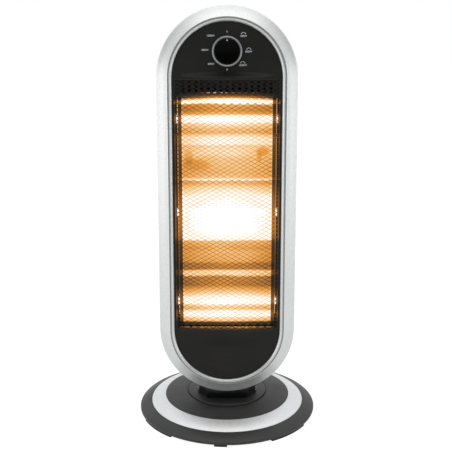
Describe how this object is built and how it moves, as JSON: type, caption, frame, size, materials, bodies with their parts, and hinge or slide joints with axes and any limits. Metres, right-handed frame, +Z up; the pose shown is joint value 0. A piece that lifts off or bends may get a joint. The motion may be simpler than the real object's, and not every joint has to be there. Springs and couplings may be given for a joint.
{
  "type": "halogen heater",
  "caption": "Free-standing oscillating halogen heater: a tall rounded head with quartz lamps behind a bowed mesh guard, on a round weighted foot.",
  "frame": {"origin": "centre of the round foot, on the surface the heater stands on", "axes": "+Z up, the lamps face -Y, +X to the right as seen from the front"},
  "size_m": [0.27, 0.27, 0.6123],
  "materials": {
    "charcoal_plastic": "fine-textured charcoal moulding",
    "silver_lacquer": "satin silver lacquer on moulded plastic",
    "satin_black_plastic": "satin black moulding",
    "matt_black_plastic": "matt black moulding",
    "rubber": "soft black rubber",
    "sheet_steel": "zinc-plated steel",
    "ballast_iron": "bare cast ring",
    "black_steel": "heat-proof black enamel on expanded steel",
    "polished_aluminium": "bright rolled reflector sheet",
    "quartz": "clear quartz",
    "tungsten": "glowing wire",
    "ceramic": "unglazed steatite",
    "nylon": "natural nylon",
    "phenolic": "dark phenolic moulding",
    "chrome": "bright plated ring"
  },
  "bodies": {
    "base": {"base_cover": "charcoal_plastic", "base_ring": "silver_lacquer", "base_plate": "sheet_steel", "ballast_ring": "ballast_iron", "foot_front": "rubber", "foot_front_left": "rubber", "foot_front_right": "rubber", "foot_rear_right": "rubber", "foot_rear_left": "rubber", "base_screw_1": "sheet_steel", "base_screw_2": "sheet_steel", "base_screw_3": "sheet_steel", "base_screw_4": "sheet_steel", "oscillation_motor": "sheet_steel", "motor_screw_1": "sheet_steel", "motor_screw_2": "sheet_steel", "tip_switch": "phenolic", "terminal_block": "ceramic", "cord_gland": "rubber"},
    "crank": {"crank_disc": "nylon"},
    "plunger": {"tip_plunger": "rubber"},
    "head": {"drive_arm": "sheet_steel", "hub_screw": "sheet_steel", "turntable": "satin_black_plastic", "neck": "matt_black_plastic", "neck_screw_right": "sheet_steel", "neck_screw_left": "sheet_steel", "front_bezel": "silver_lacquer", "front_panel": "satin_black_plastic", "guard_mesh": "black_steel", "rear_housing": "satin_black_plastic", "grip_cup": "satin_black_plastic", "housing_screw_1": "sheet_steel", "housing_screw_2": "sheet_steel", "housing_screw_3": "sheet_steel", "housing_screw_4": "sheet_steel", "reflector": "polished_aluminium", "reflector_side_right": "sheet_steel", "reflector_side_left": "sheet_steel", "heat_shield": "sheet_steel", "lamp_rail_right": "sheet_steel", "lamp_rail_left": "sheet_steel", "quartz_tube_upper": "quartz", "filament_upper": "tungsten", "end_cap_upper_right": "ceramic", "end_cap_upper_left": "ceramic", "quartz_tube_middle": "quartz", "filament_middle": "tungsten", "end_cap_middle_right": "ceramic", "end_cap_middle_left": "ceramic", "quartz_tube_lower": "quartz", "filament_lower": "tungsten", "end_cap_lower_right": "ceramic", "end_cap_lower_left": "ceramic", "thermal_cutout": "phenolic", "rotary_switch": "phenolic"},
    "knob": {"knob": "matt_black_plastic", "knob_ring": "chrome", "switch_shaft": "sheet_steel"}
  },
  "joints": [
    {"name": "head_oscillation", "type": "hinge", "parent": "base", "child": "head", "pos_m": [0, 0, 0.0285], "axis": [0, 0, 1], "range_deg": [-35, 35]},
    {"name": "crank_turn", "type": "hinge", "parent": "base", "child": "crank", "pos_m": [0, 0.028, 0.0185], "axis": [0, 0, 1], "range_deg": [-109, 109]},
    {"name": "plunger_press", "type": "slide", "parent": "base", "child": "plunger", "axis": [0, 0, -1], "range_m": [0, 0.004], "stiffness_N_per_m": 60, "springref_m": 0.006},
    {"name": "knob_turn", "type": "hinge", "parent": "head", "child": "knob", "pos_m": [0, -0.03339, 0.54995], "axis": [0, -0.9986, 0.0523], "continuous": true}
  ],
  "couplings": [
    {"joint": "crank_turn", "follows": "head_oscillation", "ratio": 3.1}
  ]
}
